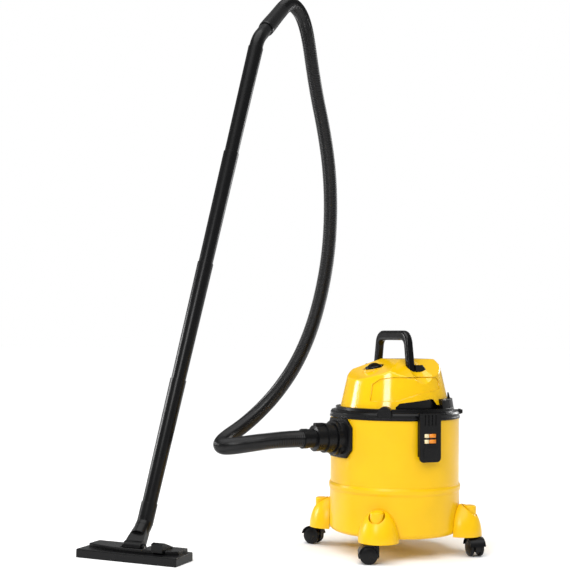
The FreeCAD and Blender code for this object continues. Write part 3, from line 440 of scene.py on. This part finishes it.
LATCH_FACE = 0.1650
LABEL_ROWS = ((0.2650, "upper"), (0.2775, "lower"))
LABEL_HALF_LENGTH = 0.0145
LABEL_HALF_HEIGHT = 0.0042
LABEL_THICKNESS = 0.0010
LABEL_WINDOW_DEPTH = 0.0013
LABEL_EDGE = 0.0003
# Shares of a row's length: where the light stripe ends and where the orange one starts.
LIGHT_STRIPE_END = 0.38
ORANGE_STRIPE_START = 0.42


def add_label(side, row_z, name, start, end, look):
    """Raised blank stripe in the latch's window, between two shares of the row's length."""
    joint = joint_named("latch_" + side + "_swing")
    hinge = Vector(joint["pos_m"])
    out = Vector((hinge.x, hinge.y, 0.0)).normalized()
    along = Vector((-out.y, out.x, 0.0))
    face = LATCH_FACE - LABEL_WINDOW_DEPTH
    bm = bmesh.new()
    bmesh.ops.create_cube(bm, size=1.0)
    length = (end - start) * 2 * LABEL_HALF_LENGTH
    middle = (start + end - 1.0) * LABEL_HALF_LENGTH
    for vert in bm.verts:
        place = vert.co.copy()
        outwards = out * (face + LABEL_THICKNESS * (place.x + 0.5))
        sideways = along * (middle + place.y * length)
        upwards = UP * (row_z + place.z * 2 * LABEL_HALF_HEIGHT)
        vert.co = outwards + sideways + upwards
    bmesh.ops.bevel(bm, geom=bm.edges[:], offset=LABEL_EDGE, segments=2, affect="EDGES")
    piece_from("label_" + side + "_" + name, bm, look, "latch_" + side)


def add_labels():
    """Two rows of blank stripes on each latch, in place of a printed badge."""
    for side in ("right", "left"):
        for row_z, row_name in LABEL_ROWS:
            add_label(side, row_z, row_name + "_light", 0.0, LIGHT_STRIPE_END, "label_cream")
            add_label(side, row_z, row_name + "_orange", ORANGE_STRIPE_START, 1.0, "label_orange")


# ---------------------------------------------------------------- stage
FLOOR_HALF = 40.0
LAMP_TARGET = Vector((0.0, 0.0, 0.35))
WORLD_GLOW = 0.30
WORLD_SEEN = 1.0
OVERHEAD_SPREAD = 70.0
OVERHEAD_POWER = 2.65
OVERHEAD_HEADING = -40.0
OVERHEAD_ELEVATION = 72.0


def grey(value):
    """Neutral linear colour."""
    return (value, value, value, 1.0)


def add_floor():
    """Wide white floor under the object."""
    mesh = bpy.data.meshes.new("studio_floor")
    bm = bmesh.new()
    corners = []
    for x, y in ((-1, -1), (1, -1), (1, 1), (-1, 1)):
        corners.append(bm.verts.new((x * FLOOR_HALF, y * FLOOR_HALF, 0.0)))
    bm.faces.new(corners)
    bm.to_mesh(mesh)
    bm.free()
    floor = bpy.data.objects.new("studio_floor", mesh)
    bpy.context.scene.collection.objects.link(floor)
    made = Material("studio_floor_look")
    tone = made.noise(scale=2.0, detail=2.0)
    made.feed(made.ramp(tone, low=grey(0.93), high=grey(0.96)), "Base Color")
    made.set(Roughness=0.95, Specular_IOR_Level=0.1)
    mesh.materials.append(made.material)


def towards(heading, elevation):
    """Unit direction from a heading and an elevation in degrees."""
    turn = math.radians(heading)
    rise = math.radians(elevation)
    return Vector((math.cos(turn) * math.cos(rise), math.sin(turn) * math.cos(rise), math.sin(rise)))


def add_softbox(name, *, heading, elevation, distance, size, power):
    """Square lamp aimed at the tank."""
    place = LAMP_TARGET + towards(heading, elevation) * distance
    data = bpy.data.lights.new(name, "AREA")
    data.shape = "SQUARE"
    data.size = size
    data.energy = power
    lamp = bpy.data.objects.new(name, data)
    lamp.location = place
    lamp.rotation_euler = (LAMP_TARGET - place).to_track_quat("-Z", "Y").to_euler()
    bpy.context.scene.collection.objects.link(lamp)


def add_overhead():
    """Wide soft light from above and in front, even over the whole floor."""
    data = bpy.data.lights.new("overhead", "SUN")
    data.angle = math.radians(OVERHEAD_SPREAD)
    data.energy = OVERHEAD_POWER
    lamp = bpy.data.objects.new("overhead", data)
    shining = -towards(OVERHEAD_HEADING, OVERHEAD_ELEVATION)
    lamp.rotation_euler = shining.to_track_quat("-Z", "Y").to_euler()
    bpy.context.scene.collection.objects.link(lamp)


def add_world():
    """Plain white surroundings, seen as pure white behind the floor and dimmer as a light."""
    world = bpy.data.worlds.new("studio")
    bpy.context.scene.world = world
    world.use_nodes = True
    tree = world.node_tree
    background = tree.nodes["Background"]
    background.inputs["Color"].default_value = (1.0, 1.0, 1.0, 1.0)
    seen = tree.nodes.new("ShaderNodeLightPath")
    strength = tree.nodes.new("ShaderNodeMapRange")
    strength.inputs["To Min"].default_value = WORLD_GLOW
    strength.inputs["To Max"].default_value = WORLD_SEEN
    tree.links.new(seen.outputs["Is Camera Ray"], strength.inputs["Value"])
    tree.links.new(strength.outputs["Result"], background.inputs["Strength"])


def add_lights():
    """Three softboxes for the highlights and one wide light from above."""
    add_softbox("front_box", heading=-50.0, elevation=24.0, distance=2.6, size=0.6, power=18.0)
    add_softbox("left_box", heading=-128.0, elevation=12.0, distance=2.4, size=0.7, power=24.0)
    add_softbox("right_box", heading=112.0, elevation=18.0, distance=2.4, size=0.8, power=16.0)
    add_overhead()


def main():
    """Makes the camera, the hose, the looks, the visual pieces and the studio."""
    add_camera()
    hose = add_hose()
    make_looks()
    dress_nodes()
    hose.data.materials.append(LOOKS["hose_black"])
    for corner in CORNERS:
        add_wheels(corner)
    add_labels()
    add_floor()
    add_world()
    add_lights()
    bpy.context.scene.view_settings.view_transform = "Standard"


main()
